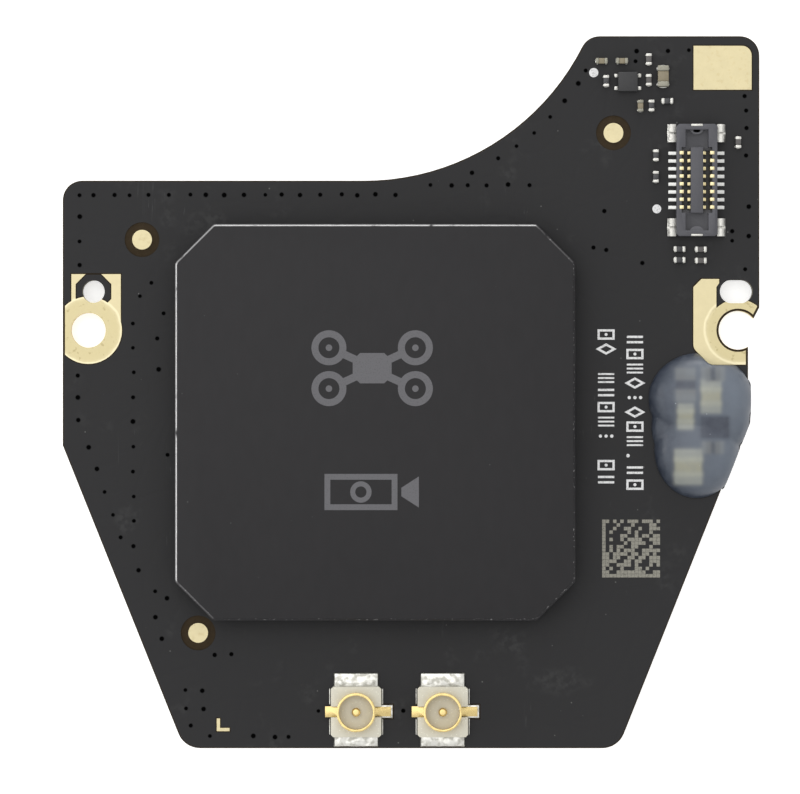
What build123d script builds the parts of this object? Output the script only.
from build123d import *
import math
import os

# Flight controller board: a black circuit board with a lift-off shield cover over its main chips,
# a sixteen-contact mezzanine connector, two miniature coaxial sockets, a potted group of parts,
# gold mounting lugs and the small chip parts around them. Millimetres. The board lies flat in XY
# with its top side towards +Z, and the origin is below the middle of the board, on its underside.

# ---------------------------------------------------------------- driving dimensions

# The shield cover sets the middle of the board, and strips of board surround it.
COVER_WIDTH = 20.6
COVER_LENGTH = 20.4
COVER_CHAMFER = 2.0
COVER_CORNER_RADIUS = 0.3
COVER_TOP_THICKNESS = 0.5
COVER_SKIRT_THICKNESS = 0.35
COVER_EDGE_BEVEL = 0.12
COVER_FOOT_GAP = 0.15
COVER_LIFT = 8.0

STRIP_LEFT = 5.85
STRIP_RIGHT = 9.55
STRIP_BOTTOM = 6.65
STRIP_TOP = 9.75
SHOULDER_STRIP = 2.28

FRAME_WALL = 0.2
FRAME_HEIGHT = 1.3
FRAME_FLANGE_WIDTH = 0.7
FRAME_CLEARANCE = 0.05
FRAME_RIB_WIDTH = 0.8
FRAME_RIB_DROP = 1.0
SNAP_WINDOW_WIDTH = 1.4
SNAP_WINDOW_HEIGHT = 0.3
SNAP_WINDOW_RISE = 0.55

# Board layers.
BOARD_THICKNESS = 1.0
LAYER = 0.04
MASK_GAP = 0.05
MASK_PULLBACK = 0.06
SMALLEST_PRINT = 0.05
GOLD_PULLBACK = 0.12

# Board outline.
CORNER_RADIUS = 1.0
FOOT_CORNER_RADIUS = 1.2
SADDLE_RADIUS = 12.66
CROWN_WIDTH = 8.89
LEFT_KNEE_DROP = 5.95
LEFT_FOOT_INSET = 6.28
RIGHT_FOOT_INSET = 7.3
RIGHT_STEP = 0.58
RIGHT_KNEE_DROP = 4.74
EAR_DROP = 1.18

# Fixing holes.
LUG_DROP = 15.2
SCREW_HOLE_RADIUS = 0.9
SCREW_HOLE_INSET = 1.32
LOCATING_HOLE_RADIUS = 0.58
LOCATING_HOLE_INSET = 1.59
LOCATING_RISE = 2.0
NOTCH_RADIUS = 1.0
NOTCH_INSET = 1.1
SLOT_LENGTH = 1.7
SLOT_WIDTH = 1.2
SLOT_INSET = 1.19

# Gold pads.
LUG_PAD_RADIUS = 1.74
LUG_ARM_LEFT = 0.87
LUG_ARM_RIGHT = 1.68
LUG_ARM_RISE = 2.9
KEEPOUT_ACROSS_FLATS = 1.85
NOTCH_PAD_RADIUS = 1.6
NOTCH_ARM_LEFT = 2.31
NOTCH_ARM_RIGHT = 1.12
NOTCH_ARM_RISE = 2.65
NOTCH_ARM_BEVEL = 0.42
NOTCH_ARM_TIP = 0.14
NOTCH_FOOT_DROP = 1.78
NOTCH_FOOT_CUT = 0.85
NOTCH_FOOT_RADIUS = 0.5
CORNER_PAD_WIDTH = 3.0
CORNER_PAD_LENGTH = 2.27
CORNER_PAD_RADIUS = 0.5
CORNER_PAD_INSET = 0.4
CORNER_PAD_DROP = 0.5
FIDUCIAL_RADIUS = 0.51
FIDUCIAL_WINDOW_RADIUS = 0.9
BRACKET_ARM = 0.66
BRACKET_LINE = 0.17
BRACKET_INSET = 7.96
BRACKET_RISE = 0.88
PROBE_PAD_RADIUS = 0.5
PROBE_PAD_STEP = 2.0

# Coaxial sockets.
COAX_BODY = 2.6
COAX_BODY_HEIGHT = 0.55
COAX_SHELL_RADIUS = 1.0
COAX_SHELL_WALL = 0.12
COAX_HEIGHT = 1.25
COAX_LIP = 0.05
COAX_LIP_RISE = 0.22
COAX_LIP_WIDTH = 0.14
COAX_PIN_RADIUS = 0.22
COAX_PIN_HEIGHT = 0.95
COAX_TAB_WIDTH = 0.56
COAX_TAB_HEIGHT = 0.3
COAX_TAB_THICKNESS = 0.12
COAX_TAB_REACH = 0.3
COAX_FOOT_WIDTH = 1.85
COAX_FOOT_LENGTH = 0.4
COAX_ARM_WIDTH = 0.9
COAX_RISER_WIDTH = 0.34
COAX_RISER_THICKNESS = 0.08
COAX_LEAD_WIDTH = 0.5
COAX_LEAD_SETBACK = 0.1
COAX_BODY_CHAMFER = 0.12
COAX_LAND_WIDTH = 2.25
COAX_LAND_SPAN = 3.8
COAX_LAND_UNDERLAP = 0.4
COAX_SIGNAL_LAND_WIDTH = 0.72
COAX_SIGNAL_UNDERLAP = 0.3
COAX_SIGNAL_REACH = 1.9
COAX_EDGE_INSET = 1.9
COAX_SPACING = 4.47
COAX_OFFSET = 1.25

# Mezzanine connector.
PIN_PITCH = 0.4
PINS_PER_ROW = 8
CONNECTOR_WIDTH = 2.1
CONNECTOR_HEIGHT = 0.78
CONNECTOR_FLOOR = 0.2
CONNECTOR_WALL = 0.26
CONNECTOR_END = 1.2
CONNECTOR_POCKET_WALL = 0.3
CONNECTOR_CORNER = 0.12
TONGUE_WIDTH = 0.64
TONGUE_HEIGHT = 0.68
TONGUE_LENGTH_SPARE = 0.18
CONTACT_WIDTH = 0.18
CONTACT_STRIP = 0.08
CONTACT_REACH = 0.4
CONTACT_HOOK = 0.22
CONTACT_BULGE = 0.16
HOLD_DOWN_WIDTH = 0.44
HOLD_DOWN_LENGTH = 0.92
HOLD_DOWN_HEIGHT = 0.4
END_CLIP_WIDTH = 0.62
END_CLIP_DEPTH = 0.12
CONNECTOR_INSET = 3.26
CONNECTOR_DROP = 7.46

# Chip parts: length, width and height of each case size.
CASE_SMALL = (0.6, 0.3, 0.3)
CASE_MEDIUM = (1.1, 0.58, 0.55)
CASE_LARGE = (1.5, 0.8, 0.7)
CASE_HUGE = (1.6, 1.2, 0.6)
CASE_INNER = (1.0, 0.5, 0.5)
END_SHARE = 0.26

REGULATOR_SIDE = 1.0
REGULATOR_HEIGHT = 0.4
REGULATOR_LEAD = 0.2
REGULATOR_PITCH = 0.65

# Chips under the cover.
WALL_MARGIN = 1.0
PROCESSOR_SIDE = 8.0
PROCESSOR_BASE_HEIGHT = 0.3
PROCESSOR_MOULD_SIDE = 7.0
PROCESSOR_MOULD_HEIGHT = 0.55
MEMORY_WIDTH = 5.0
MEMORY_LENGTH = 6.0
MEMORY_HEIGHT = 0.8
POWER_CHIP_SIDE = 4.0
POWER_CHIP_HEIGHT = 0.75
RADIO_CHIP_SIDE = 3.0
RADIO_CHIP_HEIGHT = 0.75
FLASH_WIDTH = 2.0
FLASH_LENGTH = 3.0
FLASH_HEIGHT = 0.6
AMPLIFIER_SIDE = 2.0
AMPLIFIER_HEIGHT = 0.7
SENSOR_WIDTH = 3.0
SENSOR_LENGTH = 2.5
SENSOR_HEIGHT = 0.86
CRYSTAL_WIDTH = 1.6
CRYSTAL_LENGTH = 2.0
CRYSTAL_BASE_HEIGHT = 0.2
CRYSTAL_CAN_HEIGHT = 0.3
CRYSTAL_CAN_INSET = 0.12
INDUCTOR_WIDTH = 1.6
INDUCTOR_LENGTH = 2.0
INDUCTOR_HEIGHT = 0.9
INDUCTOR_END = 0.4
THERMAL_PAD_INSET = 0.5
ROW_GAP = 0.35
DECOUPLER_GAP = 0.35

# Potting compound: each lobe is a flattened ball, given by its place from the right edge and the lug
# line, its half-width, half-length and height above the board.
POTTING_LOBES = (
    (3.05, -3.55, 2.75, 2.45, 1.35),
    (3.25, -6.15, 2.25, 2.60, 1.25),
    (1.70, -4.40, 1.25, 1.90, 0.85),
)
POTTING_OVERHANG = 0.4
POTTING_PAD_GAP = 0.02
POTTING_DRAFT = 0.25

# ---------------------------------------------------------------- derived places

BOARD_WIDTH = STRIP_LEFT + COVER_WIDTH + STRIP_RIGHT
BOARD_LENGTH = STRIP_BOTTOM + COVER_LENGTH + STRIP_TOP
LEFT = -BOARD_WIDTH / 2
RIGHT = BOARD_WIDTH / 2
BOTTOM = -BOARD_LENGTH / 2
TOP = BOARD_LENGTH / 2
CORE_BOTTOM = LAYER
CORE_TOP = BOARD_THICKNESS - LAYER
SURFACE = BOARD_THICKNESS

COVER_X = LEFT + STRIP_LEFT + COVER_WIDTH / 2
COVER_Y = BOTTOM + STRIP_BOTTOM + COVER_LENGTH / 2
SHOULDER_Y = COVER_Y + COVER_LENGTH / 2 + SHOULDER_STRIP
LUG_Y = TOP - LUG_DROP

SCREW_HOLE = (LEFT + SCREW_HOLE_INSET, LUG_Y)
LOCATING_HOLE = (LEFT + LOCATING_HOLE_INSET, LUG_Y + LOCATING_RISE)
NOTCH = (RIGHT - NOTCH_INSET, LUG_Y)
SLOT = (RIGHT - SLOT_INSET, LUG_Y + LOCATING_RISE)

FRAME_INSET = COVER_SKIRT_THICKNESS + FRAME_CLEARANCE
FRAME_TOP = SURFACE + FRAME_HEIGHT
INNER_INSET = FRAME_INSET + FRAME_WALL
INNER_LEFT = COVER_X - COVER_WIDTH / 2 + INNER_INSET
INNER_RIGHT = COVER_X + COVER_WIDTH / 2 - INNER_INSET
INNER_BOTTOM = COVER_Y - COVER_LENGTH / 2 + INNER_INSET
INNER_TOP = COVER_Y + COVER_LENGTH / 2 - INNER_INSET

COAX_Y = BOTTOM + COAX_EDGE_INSET
COAX_XS = {
    "left": COVER_X + COAX_OFFSET - COAX_SPACING / 2,
    "right": COVER_X + COAX_OFFSET + COAX_SPACING / 2,
}
CONNECTOR = (RIGHT - CONNECTOR_INSET, TOP - CONNECTOR_DROP)
PIN_SPAN = PIN_PITCH * (PINS_PER_ROW - 1)
TONGUE_LENGTH = PIN_SPAN + PIN_PITCH + TONGUE_LENGTH_SPARE
CONNECTOR_LENGTH = TONGUE_LENGTH + 2 * CONNECTOR_END

PIECES = {}


# ---------------------------------------------------------------- helpers

def slab(face, low, high):
    """A flat shape raised from one height to another."""
    return extrude(Pos(0, 0, low) * face, amount=high - low, dir=(0, 0, 1))


def block(x, y, width, length, low, high):
    """An upright box, placed by its middle in plan and by its two heights."""
    return Pos(x, y, (low + high) / 2) * Box(width, length, high - low)


def post(x, y, radius, low, high):
    """An upright round post."""
    return Pos(x, y, (low + high) / 2) * Cylinder(radius, high - low)


def corners_near(face, places):
    """The corners of a flat shape that lie nearest to the places given."""
    return [face.vertices().sort_by_distance((x, y, 0))[0] for x, y in places]


def group(pieces):
    """Separate solids kept together as one named group."""
    return Compound(children=[solid for piece in pieces for solid in piece.solids()])


def polygon(points):
    """A flat shape with straight sides."""
    return make_face(Polyline(*points, close=True))


# ---------------------------------------------------------------- board outline

def board_outline(pullback=0.0):
    """The board in plan with its holes, or pulled back from every edge and hole."""
    rise = TOP - SHOULDER_Y
    crown_x = RIGHT - CROWN_WIDTH
    run = math.sqrt(SADDLE_RADIUS**2 - (SADDLE_RADIUS - rise) ** 2)
    saddle_x = crown_x - run
    ear_x = NOTCH[0] + NOTCH_RADIUS * math.cos(math.radians(37))
    ear_y = NOTCH[1] + NOTCH_RADIUS * math.sin(math.radians(37))
    lip_x = RIGHT - RIGHT_STEP
    lip_y = NOTCH[1] - math.sqrt(NOTCH_RADIUS**2 - (lip_x - NOTCH[0]) ** 2)
    shoulder = [(LEFT, LUG_Y - LEFT_KNEE_DROP), (LEFT, SHOULDER_Y), (saddle_x, SHOULDER_Y)]
    side = [
        (crown_x, TOP),
        (RIGHT, TOP),
        (RIGHT, LUG_Y + EAR_DROP),
        (ear_x, ear_y),
        (lip_x, lip_y),
        (lip_x, LUG_Y - RIGHT_KNEE_DROP),
        (RIGHT - RIGHT_FOOT_INSET, BOTTOM),
        (LEFT + LEFT_FOOT_INSET, BOTTOM),
        (LEFT, LUG_Y - LEFT_KNEE_DROP),
    ]
    middle = math.acos((SADDLE_RADIUS - rise) / SADDLE_RADIUS) / 2
    saddle_middle = (
        saddle_x + SADDLE_RADIUS * math.sin(middle),
        SHOULDER_Y + SADDLE_RADIUS * (1 - math.cos(middle)),
    )
    edges = [Edge.make_line(a, b) for a, b in zip(shoulder, shoulder[1:])]
    edges.append(Edge.make_three_point_arc(shoulder[-1], saddle_middle, side[0]))
    edges += [Edge.make_line(a, b) for a, b in zip(side, side[1:])]
    face = Sketch() + Face(Wire(edges))
    face = fillet(corners_near(face, [(LEFT, SHOULDER_Y), (crown_x, TOP), (RIGHT, TOP)]), CORNER_RADIUS)
    feet = [(LEFT + LEFT_FOOT_INSET, BOTTOM), (RIGHT - RIGHT_FOOT_INSET, BOTTOM)]
    face = fillet(corners_near(face, feet), FOOT_CORNER_RADIUS)
    if pullback:
        face = offset(face, amount=-pullback, kind=Kind.INTERSECTION)
    return face - fixing_holes(pullback)


def fixing_holes(grow=0.0):
    """The screw hole, the locating hole, the locating slot and the open notch, in plan."""
    holes = Pos(*SCREW_HOLE) * Circle(SCREW_HOLE_RADIUS)
    holes += Pos(*LOCATING_HOLE) * Circle(LOCATING_HOLE_RADIUS)
    holes += Pos(*NOTCH) * Circle(NOTCH_RADIUS + grow)
    holes += Pos(*SLOT) * SlotOverall(SLOT_LENGTH, SLOT_WIDTH)
    return holes


# ---------------------------------------------------------------- gold pads

def left_lug(grow=0.0):
    """Gold ring round the screw hole, with two arms that reach up beside the locating hole."""
    x, y = SCREW_HOLE
    arm_left = x - LUG_ARM_LEFT - grow
    arm_right = x + LUG_ARM_RIGHT + grow
    arm_top = y + LUG_ARM_RISE + grow
    arms = polygon([(arm_left, y), (arm_right, y), (arm_right, arm_top), (arm_left, arm_top)])
    flats = KEEPOUT_ACROSS_FLATS / 2 - grow
    keepout = RegularPolygon(flats, side_count=8, major_radius=False, rotation=22.5)
    keepout = Pos(*LOCATING_HOLE) * keepout
    return arms - keepout + Pos(x, y) * Circle(LUG_PAD_RADIUS + grow)


def right_lug(grow=0.0):
    """Gold lug round the open notch, with one arm that reaches up beside the locating slot."""
    x, y = NOTCH
    arm_left = x - NOTCH_ARM_LEFT - grow
    arm_right = x - NOTCH_ARM_RIGHT + grow
    arm_top = y + NOTCH_ARM_RISE + grow
    bevel_low = arm_top - NOTCH_ARM_BEVEL
    tip = arm_right + NOTCH_ARM_TIP
    foot = y - NOTCH_FOOT_DROP - grow
    foot_right = RIGHT - RIGHT_STEP + grow
    outline = [
        (arm_left, foot + NOTCH_FOOT_CUT),
        (arm_left, bevel_low),
        (arm_left + NOTCH_ARM_BEVEL, arm_top),
        (tip, arm_top),
        (tip, (arm_top + bevel_low) / 2),
        (arm_right, bevel_low),
        (arm_right, y),
        (foot_right, y - NOTCH_RADIUS / 2),
        (foot_right, foot),
        (arm_left + NOTCH_FOOT_CUT, foot),
    ]
    face = polygon(outline)
    face = fillet(corners_near(face, [outline[0], outline[-1]]), NOTCH_FOOT_RADIUS)
    return face + Pos(x, y) * Circle(NOTCH_PAD_RADIUS + grow)


def corner_pad(grow=0.0):
    """Gold contact pad in the top right corner, rounded where the board is."""
    width = CORNER_PAD_WIDTH + 2 * grow
    length = CORNER_PAD_LENGTH + 2 * grow
    x = RIGHT - CORNER_PAD_INSET - CORNER_PAD_WIDTH / 2
    y = TOP - CORNER_PAD_DROP - CORNER_PAD_LENGTH / 2
    face = Pos(x, y) * Rectangle(width, length)
    return fillet(corners_near(face, [(x + width / 2, y + length / 2)]), CORNER_PAD_RADIUS)


def fiducial_places():
    """The three round targets that a placing machine aligns the board by."""
    return [
        (RIGHT - 7.54, TOP - 5.0),
        (LEFT + 4.1, SHOULDER_Y - 3.05),
        (LEFT + 7.0, BOTTOM + 5.96),
    ]


def bracket_mark(grow=0.0):
    """Small right-angled registration mark in gold."""
    x, y = LEFT + BRACKET_INSET, BOTTOM + BRACKET_RISE
    arm = BRACKET_ARM + 2 * grow
    line = BRACKET_LINE + 2 * grow
    upright = Pos(x + BRACKET_LINE / 2, y + BRACKET_ARM / 2) * Rectangle(line, arm)
    level = Pos(x + BRACKET_ARM / 2, y + BRACKET_LINE / 2) * Rectangle(arm, line)
    return upright + level


def lands(x, grow=0.0):
    """The three solder lands of one coaxial socket: two for its shell and one for its pin."""
    depth = (COAX_LAND_SPAN - COAX_BODY) / 2 + COAX_LAND_UNDERLAP
    reach = COAX_LAND_SPAN / 2 - depth / 2
    shapes = [
        Pos(x, COAX_Y + side * reach) * Rectangle(COAX_LAND_WIDTH + 2 * grow, depth + 2 * grow)
        for side in (-1, 1)
    ]
    signal = COAX_SIGNAL_REACH - COAX_BODY / 2 + COAX_SIGNAL_UNDERLAP
    place = Pos(x + COAX_SIGNAL_REACH - signal / 2, COAX_Y)
    shapes.append(place * Rectangle(signal + 2 * grow, COAX_SIGNAL_LAND_WIDTH + 2 * grow))
    return shapes


def probe_places():
    """Probe pads on the underside, in three straight rows: first pad and number of pads."""
    left = COVER_X - 3 * PROBE_PAD_STEP
    low = COVER_Y - COVER_LENGTH / 3
    rows = [(left, low, 6), (left, low + PROBE_PAD_STEP, 6), (COVER_X + PROBE_PAD_STEP, -low, 4)]
    return [(x + PROBE_PAD_STEP * step, y) for x, y, count in rows for step in range(count)]


def make_board():
    mask_sheet = board_outline(MASK_PULLBACK)
    inner = board_outline(GOLD_PULLBACK)
    PIECES["board_core"] = slab(board_outline(), CORE_BOTTOM, CORE_TOP)

    left_pad = left_lug() & inner
    right_pad = right_lug() & inner
    PIECES["left_mounting_pad"] = slab(left_pad, CORE_TOP, SURFACE)
    PIECES["right_mounting_pad"] = slab(right_pad, CORE_TOP, SURFACE)
    PIECES["corner_contact_pad"] = slab(corner_pad(), CORE_TOP, SURFACE)
    PIECES["fiducial_discs"] = group(
        slab(Pos(x, y) * Circle(FIDUCIAL_RADIUS), CORE_TOP, SURFACE) for x, y in fiducial_places()
    )
    PIECES["corner_bracket_mark"] = slab(bracket_mark(), CORE_TOP, SURFACE)
    land_faces = [(face & inner) for x in COAX_XS.values() for face in lands(x)]
    PIECES["coax_solder_lands"] = group(slab(face, CORE_TOP, SURFACE) for face in land_faces)

    top_mask = mask_sheet - left_lug(MASK_GAP) - right_lug(MASK_GAP) - corner_pad(MASK_GAP)
    top_mask -= bracket_mark(MASK_GAP)
    for x, y in fiducial_places():
        top_mask -= Pos(x, y) * Circle(FIDUCIAL_WINDOW_RADIUS)
    for x in COAX_XS.values():
        for face in lands(x, MASK_GAP):
            top_mask -= face
    PIECES["top_solder_mask"] = slab(printable(top_mask), CORE_TOP, SURFACE)

    PIECES["underside_mounting_pads"] = group([slab(left_pad, 0, LAYER), slab(right_pad, 0, LAYER)])
    PIECES["underside_probe_pads"] = group(
        slab(Pos(x, y) * Circle(PROBE_PAD_RADIUS), 0, LAYER) for x, y in probe_places()
    )
    under_mask = mask_sheet - left_lug(MASK_GAP) - right_lug(MASK_GAP)
    for x, y in probe_places():
        under_mask -= Pos(x, y) * Circle(PROBE_PAD_RADIUS + MASK_GAP)
    PIECES["underside_solder_mask"] = slab(printable(under_mask), 0, LAYER)


def printable(sketch):
    """The main sheet of a flat shape and its islands, without slivers too small to print."""
    return Sketch() + [face for face in sketch.faces() if face.area > SMALLEST_PRINT]


# ---------------------------------------------------------------- shield

def octagon(inset=0.0):
    """The cover's outline in plan, pulled in on every side."""
    half_width = COVER_WIDTH / 2 - inset
    half_length = COVER_LENGTH / 2 - inset
    cut = COVER_CHAMFER - inset * (2 - math.sqrt(2))
    corners = [
        (half_width - cut, half_length),
        (half_width, half_length - cut),
        (half_width, cut - half_length),
        (half_width - cut, -half_length),
        (cut - half_width, -half_length),
        (-half_width, cut - half_length),
        (-half_width, half_length - cut),
        (cut - half_width, half_length),
    ]
    face = polygon([(COVER_X + x, COVER_Y + y) for x, y in corners])
    return fillet(face.vertices(), max(COVER_CORNER_RADIUS - inset / 2, 0.1))


def make_shield():
    outer = octagon(FRAME_INSET)
    wall = outer - octagon(INNER_INSET)
    ledge = outer - octagon(FRAME_INSET + FRAME_FLANGE_WIDTH)
    rib_length = COVER_WIDTH - 2 * FRAME_INSET - FRAME_WALL
    rib = Pos(COVER_X, COVER_Y - FRAME_RIB_DROP) * Rectangle(rib_length, FRAME_RIB_WIDTH)
    frame = slab(wall, SURFACE, FRAME_TOP)
    frame += slab(ledge + rib, FRAME_TOP - FRAME_WALL, FRAME_TOP)
    for window in snap_windows():
        frame -= window
    PIECES["shield_frame"] = frame

    top = slab(octagon(), FRAME_TOP, FRAME_TOP + COVER_TOP_THICKNESS)
    top = chamfer(top.faces().sort_by(Axis.Z)[-1].edges(), COVER_EDGE_BEVEL)
    skirt_face = octagon() - octagon(COVER_SKIRT_THICKNESS)
    PIECES["shield_cover"] = top + slab(skirt_face, SURFACE + COVER_FOOT_GAP, FRAME_TOP)


def snap_windows():
    """Slots in the frame's four walls where the cover's detents snap in."""
    low = SURFACE + SNAP_WINDOW_RISE
    high = low + SNAP_WINDOW_HEIGHT
    half_width = COVER_WIDTH / 2 - FRAME_INSET
    half_length = COVER_LENGTH / 2 - FRAME_INSET
    depth = 3 * FRAME_WALL
    for step in (-1, 0, 1):
        along_x = COVER_X + step * COVER_WIDTH / 4
        along_y = COVER_Y + step * COVER_LENGTH / 4
        for side in (-1, 1):
            yield block(along_x, COVER_Y + side * half_length, SNAP_WINDOW_WIDTH, depth, low, high)
            yield block(COVER_X + side * half_width, along_y, depth, SNAP_WINDOW_WIDTH, low, high)


# ---------------------------------------------------------------- chip parts

def chip(x, y, case, upright=False, low=SURFACE):
    """A chip part as its body and two metal ends, lying along X or, upright, along Y."""
    length, width, height = case
    end = length * END_SHARE
    middle = length - 2 * end
    body = Pos(0, 0, height / 2) * Box(middle, width * 0.94, height * 0.94)
    body = Pos(0, 0, -0.03 * height) * body
    ends = [
        Pos(side * (middle + end) / 2, 0, height / 2) * Box(end, width, height) for side in (-1, 1)
    ]
    place = Pos(x, y, low) * Rot(0, 0, 90 if upright else 0)
    return place * body, [place * piece for piece in ends]


def chip_groups(name, parts):
    """Adds one node with the bodies and one with the metal ends of a list of chip parts."""
    made = [chip(*part) for part in parts]
    PIECES[name + "_bodies"] = group(body for body, _ in made)
    PIECES[name + "_ends"] = group(end for _, ends in made for end in ends)


def from_corner(inset, drop):
    """A place given by its distances from the right edge and from the top edge."""
    return RIGHT - inset, TOP - drop


def make_open_chip_parts():
    """The small parts that stand open on the board round the regulator and the connector."""
    capacitors = [
        (*from_corner(8.15, 1.29), CASE_SMALL, False),
        (*from_corner(7.10, 1.29), CASE_SMALL, False),
        (*from_corner(6.15, 3.61), CASE_SMALL, True),
    ]
    beads = [
        (*from_corner(5.72, 1.21), CASE_SMALL, True),
        (*from_corner(5.72, 2.28), CASE_SMALL, True),
        (*from_corner(1.10, 5.50), CASE_SMALL, True),
        (*from_corner(3.03, 11.02), CASE_SMALL, False),
        (*from_corner(3.03, 11.60), CASE_SMALL, False),
    ]
    resistors = [
        (*from_corner(7.92, 2.33), CASE_SMALL, True),
        (*from_corner(5.58, 3.60), CASE_SMALL, True),
        (*from_corner(4.76, 3.36), CASE_SMALL, False),
        (*from_corner(5.35, 6.17), CASE_SMALL, True),
        (*from_corner(5.35, 7.28), CASE_SMALL, True),
        (*from_corner(4.13, 11.01), CASE_SMALL, False),
        (*from_corner(4.13, 11.57), CASE_SMALL, False),
    ]
    chip_groups("small_capacitor", capacitors)
    chip_groups("ferrite_bead", beads)
    chip_groups("small_resistor", resistors)
    chip_groups("bulk_capacitor", [(*from_corner(4.98, 2.09), CASE_MEDIUM, True)])


def make_regulator():
    x, y = from_corner(6.80, 2.37)
    half = REGULATOR_SIDE / 2
    top = SURFACE + REGULATOR_HEIGHT
    PIECES["regulator_chip"] = block(x, y, REGULATOR_SIDE, REGULATOR_SIDE, SURFACE, top)
    PIECES["regulator_leads"] = group(
        block(
            x + side * (half + REGULATOR_LEAD / 2),
            y + row * REGULATOR_PITCH / 2,
            REGULATOR_LEAD,
            REGULATOR_LEAD,
            SURFACE,
            SURFACE + REGULATOR_LEAD / 2,
        )
        for side in (-1, 1)
        for row in (-1, 1)
    )


# ---------------------------------------------------------------- mezzanine connector

def make_connector():
    """Housing with a ring-shaped mouth round a central tongue, contacts, end clips and hold-downs."""
    x, y = CONNECTOR
    half = CONNECTOR_WIDTH / 2
    half_length = CONNECTOR_LENGTH / 2
    floor = SURFACE + CONNECTOR_FLOOR
    top = SURFACE + CONNECTOR_HEIGHT
    mouth_width = CONNECTOR_WIDTH - 2 * CONNECTOR_WALL
    mouth_length = CONNECTOR_LENGTH - 2 * CONNECTOR_END
    pocket_depth = CONNECTOR_END - CONNECTOR_POCKET_WALL

    housing = block(x, y, CONNECTOR_WIDTH, CONNECTOR_LENGTH, SURFACE, top)
    housing = chamfer(housing.edges().filter_by(Axis.Z), CONNECTOR_CORNER)
    housing -= block(x, y, mouth_width, mouth_length, floor, top + 1)
    for side in (-1, 1):
        pocket_y = y + side * (mouth_length + pocket_depth) / 2
        housing -= block(x, pocket_y, mouth_width * 0.75, pocket_depth + 0.02, floor, top + 1)
    housing += block(x, y, TONGUE_WIDTH, TONGUE_LENGTH, floor - 0.05, SURFACE + TONGUE_HEIGHT)

    contacts = [
        contact(x, y - PIN_SPAN / 2 + step * PIN_PITCH, side)
        for side in (-1, 1)
        for step in range(PINS_PER_ROW)
    ]
    clip_y = half_length - END_CLIP_DEPTH / 2
    clips = [
        block(x, y + side * clip_y, END_CLIP_WIDTH, END_CLIP_DEPTH, floor, top - 0.02) for side in (-1, 1)
    ]
    for metal in contacts + clips:
        housing -= metal
    for clip in clips:
        housing -= Pos(0, 0, 0.1) * clip
    PIECES["mezzanine_housing"] = housing
    PIECES["mezzanine_contacts"] = group(contacts)
    PIECES["mezzanine_end_clips"] = group(clips)

    hold_x = half + HOLD_DOWN_WIDTH / 2
    hold_y = half_length - HOLD_DOWN_LENGTH / 2
    hold_top = SURFACE + HOLD_DOWN_HEIGHT
    PIECES["mezzanine_hold_downs"] = group(
        block(x + side * hold_x, y + end * hold_y, HOLD_DOWN_WIDTH, HOLD_DOWN_LENGTH, SURFACE, hold_top)
        for side in (-1, 1)
        for end in (-1, 1)
    )


def contact(x, pin_y, side):
    """One contact: a base on the board, a hook over the wall and a spring beside the tongue."""
    half = CONNECTOR_WIDTH / 2
    top = SURFACE + CONNECTOR_HEIGHT
    base_end = TONGUE_WIDTH / 2
    hook_end = half - CONNECTOR_WALL + CONTACT_HOOK / 2
    hook_start = hook_end - CONTACT_HOOK
    spans = [
        (half + CONTACT_REACH, base_end, SURFACE, SURFACE + CONTACT_STRIP),
        (hook_start + CONTACT_STRIP, hook_start, SURFACE, top),
        (hook_end, hook_start, top - CONTACT_STRIP, top),
        (base_end + CONTACT_STRIP, base_end, SURFACE, SURFACE + TONGUE_HEIGHT - 0.1),
        (base_end + CONTACT_BULGE, base_end, SURFACE + 0.35, SURFACE + 0.45),
    ]
    pieces = [
        block(x + side * (outer + inner) / 2, pin_y, outer - inner, CONTACT_WIDTH, low, high)
        for outer, inner, low, high in spans
    ]
    return pieces[0].fuse(*pieces[1:]).clean()


# ---------------------------------------------------------------- coaxial sockets

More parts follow.
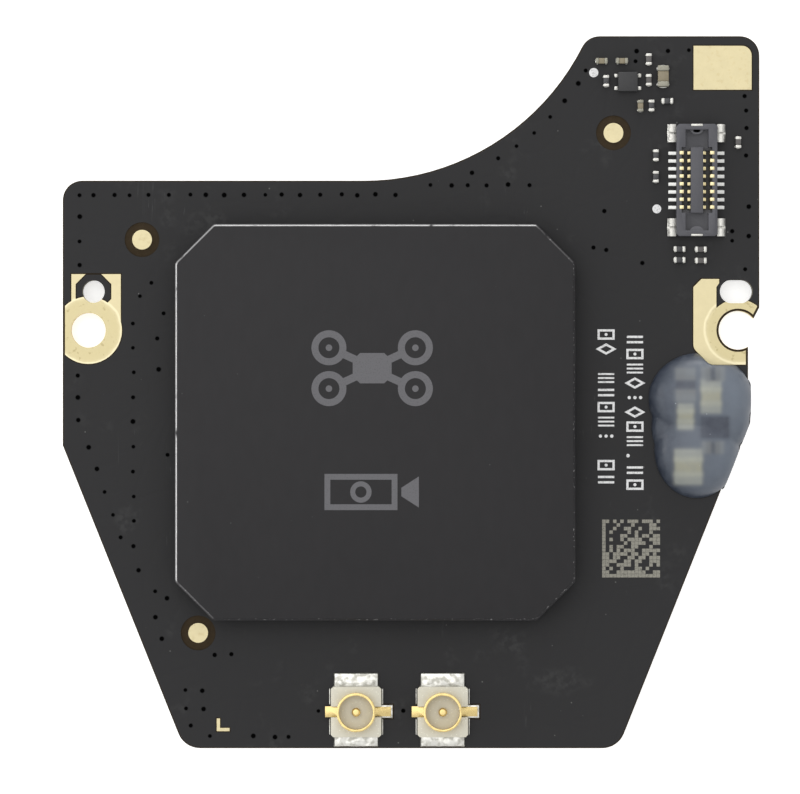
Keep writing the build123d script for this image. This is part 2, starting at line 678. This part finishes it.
def make_coax(side, x):
    """One miniature coaxial socket: moulded body, gold shell with its tabs, and gold centre pin."""
    body_top = SURFACE + COAX_BODY_HEIGHT
    shell_top = SURFACE + COAX_HEIGHT
    tab_top = SURFACE + COAX_TAB_HEIGHT
    foot_top = SURFACE + COAX_TAB_THICKNESS
    half = COAX_BODY / 2
    inner_radius = COAX_SHELL_RADIUS - COAX_SHELL_WALL

    shell = ring(x, COAX_SHELL_RADIUS, inner_radius, tab_top, shell_top)
    lip_low = body_top + COAX_LIP_RISE
    shell -= ring(x, COAX_SHELL_RADIUS, COAX_SHELL_RADIUS - COAX_LIP, lip_low, lip_low + COAX_LIP_WIDTH)
    tab_end = half + COAX_TAB_REACH
    tab_start = COAX_SHELL_RADIUS - COAX_SHELL_WALL / 2
    tab_x = x - (tab_start + tab_end) / 2
    shell += block(tab_x, COAX_Y, tab_end - tab_start, COAX_TAB_WIDTH, foot_top, tab_top)
    riser = COAX_SHELL_RADIUS - COAX_LIP
    arm_start = riser - COAX_RISER_THICKNESS / 2
    for end in (-1, 1):
        foot_y = COAX_Y + end * (half + COAX_FOOT_LENGTH / 2)
        shell += block(x, foot_y, COAX_FOOT_WIDTH, COAX_FOOT_LENGTH, SURFACE, foot_top)
        arm_y = COAX_Y + end * (half + arm_start) / 2
        shell += block(x, arm_y, COAX_ARM_WIDTH, half - arm_start, SURFACE, foot_top)
        riser_y = COAX_Y + end * riser
        shell += block(x, riser_y, COAX_RISER_WIDTH, COAX_RISER_THICKNESS, SURFACE, tab_top + COAX_LIP)

    lead_end = COAX_SIGNAL_REACH - COAX_LEAD_SETBACK
    pin = post(x, COAX_Y, COAX_PIN_RADIUS, SURFACE, SURFACE + COAX_PIN_HEIGHT)
    pin = fillet(pin.faces().sort_by(Axis.Z)[-1].edges(), COAX_PIN_RADIUS / 2)
    pin += block(x + lead_end / 2, COAX_Y, lead_end, COAX_LEAD_WIDTH, SURFACE, foot_top)

    body = block(x, COAX_Y, COAX_BODY, COAX_BODY, SURFACE, body_top)
    body = chamfer(body.edges().filter_by(Axis.Z), COAX_BODY_CHAMFER)
    notch = half - COAX_SHELL_RADIUS + COAX_LIP / 2
    for reach in (-1, 1):
        notch_x = x + reach * (half - notch / 2)
        body -= block(notch_x, COAX_Y, notch, COAX_TAB_WIDTH, SURFACE, body_top)
    body -= ring(x, COAX_SHELL_RADIUS, inner_radius, tab_top, body_top)
    PIECES[side + "_coax_body"] = body - shell - pin
    PIECES[side + "_coax_shell"] = shell
    PIECES[side + "_coax_pin"] = pin


def ring(x, outer_radius, inner_radius, low, high):
    """A round wall about a coaxial socket's axis."""
    return post(x, COAX_Y, outer_radius, low, high) - post(x, COAX_Y, inner_radius, low, high)


# ---------------------------------------------------------------- under the cover

def pad_on(x, y, width, length, chip_height):
    """A soft thermal pad that fills the gap between a chip and the cover."""
    return block(x, y, width, length, SURFACE + chip_height, FRAME_TOP)


def make_inside():
    top_row = INNER_TOP - WALL_MARGIN
    left_column = INNER_LEFT + WALL_MARGIN
    right_column = INNER_RIGHT - WALL_MARGIN
    bottom_row = INNER_BOTTOM + WALL_MARGIN

    px, py = left_column + PROCESSOR_SIDE / 2, top_row - PROCESSOR_SIDE / 2
    base_top = SURFACE + PROCESSOR_BASE_HEIGHT
    mould_top = base_top + PROCESSOR_MOULD_HEIGHT
    PIECES["processor_base"] = block(px, py, PROCESSOR_SIDE, PROCESSOR_SIDE, SURFACE, base_top)
    PIECES["processor_mould"] = block(px, py, PROCESSOR_MOULD_SIDE, PROCESSOR_MOULD_SIDE, base_top, mould_top)
    pad_side = PROCESSOR_MOULD_SIDE - THERMAL_PAD_INSET
    processor_height = PROCESSOR_BASE_HEIGHT + PROCESSOR_MOULD_HEIGHT
    PIECES["processor_thermal_pad"] = pad_on(px, py, pad_side, pad_side, processor_height)

    mx, my = right_column - MEMORY_WIDTH / 2, top_row - MEMORY_LENGTH / 2
    PIECES["memory_chip"] = block(mx, my, MEMORY_WIDTH, MEMORY_LENGTH, SURFACE, SURFACE + MEMORY_HEIGHT)
    inset = 2 * THERMAL_PAD_INSET
    PIECES["memory_thermal_pad"] = pad_on(mx, my, MEMORY_WIDTH - inset, MEMORY_LENGTH - inset, MEMORY_HEIGHT)

    sensor_y = top_row - MEMORY_LENGTH - ROW_GAP - SENSOR_LENGTH / 2
    sensor_x = right_column - SENSOR_WIDTH / 2
    sensor_top = SURFACE + SENSOR_HEIGHT
    PIECES["motion_sensor"] = block(sensor_x, sensor_y, SENSOR_WIDTH, SENSOR_LENGTH, SURFACE, sensor_top)

    ix = left_column + INDUCTOR_WIDTH / 2
    iy = bottom_row + INDUCTOR_LENGTH / 2
    coils = [(ix, iy + step * (INDUCTOR_LENGTH + ROW_GAP / 2)) for step in (0, 1)]
    PIECES["power_inductor_cores"] = group(
        block(x, y, INDUCTOR_WIDTH, INDUCTOR_LENGTH - 2 * INDUCTOR_END, SURFACE, SURFACE + INDUCTOR_HEIGHT)
        for x, y in coils
    )
    end_y = INDUCTOR_LENGTH / 2 - INDUCTOR_END / 2
    PIECES["power_inductor_ends"] = group(
        block(x, y + side * end_y, INDUCTOR_WIDTH, INDUCTOR_END, SURFACE, SURFACE + INDUCTOR_HEIGHT)
        for x, y in coils
        for side in (-1, 1)
    )

    wx = left_column + INDUCTOR_WIDTH + ROW_GAP + POWER_CHIP_SIDE / 2
    wy = bottom_row + POWER_CHIP_SIDE / 2
    power_top = SURFACE + POWER_CHIP_HEIGHT
    PIECES["power_chip"] = block(wx, wy, POWER_CHIP_SIDE, POWER_CHIP_SIDE, SURFACE, power_top)
    pad_side = POWER_CHIP_SIDE - THERMAL_PAD_INSET
    PIECES["power_thermal_pad"] = pad_on(wx, wy, pad_side, pad_side, POWER_CHIP_HEIGHT)

    ax = right_column - AMPLIFIER_SIDE / 2
    ay = bottom_row + AMPLIFIER_SIDE / 2
    amplifiers = [(ax, ay + step * (AMPLIFIER_SIDE + ROW_GAP / 2)) for step in (0, 1)]
    PIECES["antenna_amplifiers"] = group(
        block(x, y, AMPLIFIER_SIDE, AMPLIFIER_SIDE, SURFACE, SURFACE + AMPLIFIER_HEIGHT)
        for x, y in amplifiers
    )

    rx = right_column - AMPLIFIER_SIDE - ROW_GAP - RADIO_CHIP_SIDE / 2
    ry = bottom_row + RADIO_CHIP_SIDE / 2
    radio_top = SURFACE + RADIO_CHIP_HEIGHT
    PIECES["radio_chip"] = block(rx, ry, RADIO_CHIP_SIDE, RADIO_CHIP_SIDE, SURFACE, radio_top)

    fx = (wx + POWER_CHIP_SIDE / 2 + rx - RADIO_CHIP_SIDE / 2) / 2
    fy = bottom_row + FLASH_LENGTH / 2
    PIECES["flash_chip"] = block(fx, fy, FLASH_WIDTH, FLASH_LENGTH, SURFACE, SURFACE + FLASH_HEIGHT)

    crystal_y = sensor_y + (SENSOR_LENGTH - CRYSTAL_WIDTH) / 2
    crystal_x = right_column - SENSOR_WIDTH - ROW_GAP - CRYSTAL_LENGTH / 2
    can_low = SURFACE + CRYSTAL_BASE_HEIGHT
    can_width = CRYSTAL_LENGTH - 2 * CRYSTAL_CAN_INSET
    can_length = CRYSTAL_WIDTH - 2 * CRYSTAL_CAN_INSET
    PIECES["crystal_base"] = block(crystal_x, crystal_y, CRYSTAL_LENGTH, CRYSTAL_WIDTH, SURFACE, can_low)
    can_top = can_low + CRYSTAL_CAN_HEIGHT
    PIECES["crystal_can"] = block(crystal_x, crystal_y, can_width, can_length, can_low, can_top)

    row_y = py - PROCESSOR_SIDE / 2 - CASE_INNER[1]
    # The column stands midway between the processor and whichever of memory and crystal is nearer to it.
    channel_right = min(mx - MEMORY_WIDTH / 2, crystal_x - CRYSTAL_LENGTH / 2)
    column_x = (px + PROCESSOR_SIDE / 2 + channel_right) / 2
    step = CASE_INNER[0] + DECOUPLER_GAP
    row = [(left_column + CASE_INNER[0] / 2 + step * place, row_y, CASE_INNER, False) for place in range(6)]
    column = [(column_x, top_row - CASE_INNER[0] / 2 - step * place, CASE_INNER, True) for place in range(5)]
    chip_groups("decoupling_capacitor", row + column)


# ---------------------------------------------------------------- potted parts

def from_lug(inset, drop):
    """A place given by its distances from the right edge and below the lug line."""
    return RIGHT - inset, LUG_Y - drop


def make_potted_parts():
    """The parts under the potting compound, and the compound cast round them."""
    capacitors = [
        (*from_lug(3.87, 4.45), CASE_MEDIUM, True),
        (*from_lug(2.56, 3.42), CASE_LARGE, True),
        (*from_lug(3.72, 7.05), CASE_HUGE, True),
    ]
    resistors = [
        (*from_lug(3.87, 2.82), CASE_LARGE, True),
        (*from_lug(2.45, 2.26), (1.0, 0.5, 0.4), False),
        (*from_lug(2.45, 6.05), (0.9, 0.4, 0.35), False),
    ]
    chip_groups("potted_capacitor", capacitors)
    chip_groups("potted_resistor", resistors)
    x, y = from_lug(2.35, 5.02)
    PIECES["potted_protection_chip"] = block(x, y, 1.25, 0.9, SURFACE, SURFACE + 0.55)

    compound = None
    floor = CORE_TOP - POTTING_OVERHANG
    waist = SURFACE - POTTING_DRAFT
    for inset, drop, half_width, half_length, height in POTTING_LOBES:
        rise = height + POTTING_DRAFT
        ball = scale(Sphere(1), by=(half_width, half_length, rise))
        lobe = Pos(RIGHT - inset, LUG_Y + drop, waist) * ball
        compound = lobe if compound is None else compound + lobe
    compound &= block(0, 0, 2 * BOARD_WIDTH, 2 * BOARD_LENGTH, floor, SURFACE + 5)
    compound -= slab(board_outline(), -1, SURFACE)
    compound -= slab(right_lug(POTTING_PAD_GAP), SURFACE - 1, SURFACE + 5)
    for name, piece in PIECES.items():
        if name.startswith("potted"):
            compound -= piece
    compound = max(compound.solids(), key=lambda solid: solid.volume)
    PIECES["potting_compound"] = compound


# ---------------------------------------------------------------- build and write

make_board()
make_shield()
make_open_chip_parts()
make_regulator()
make_connector()
for side_name, socket_x in COAX_XS.items():
    make_coax(side_name, socket_x)
make_inside()
make_potted_parts()

os.makedirs("parts", exist_ok=True)
for node, piece in PIECES.items():
    export_step(piece, f"parts/{node}.step")
print(len(PIECES), "nodes,", round(BOARD_WIDTH, 2), "x", round(BOARD_LENGTH, 2), "mm")
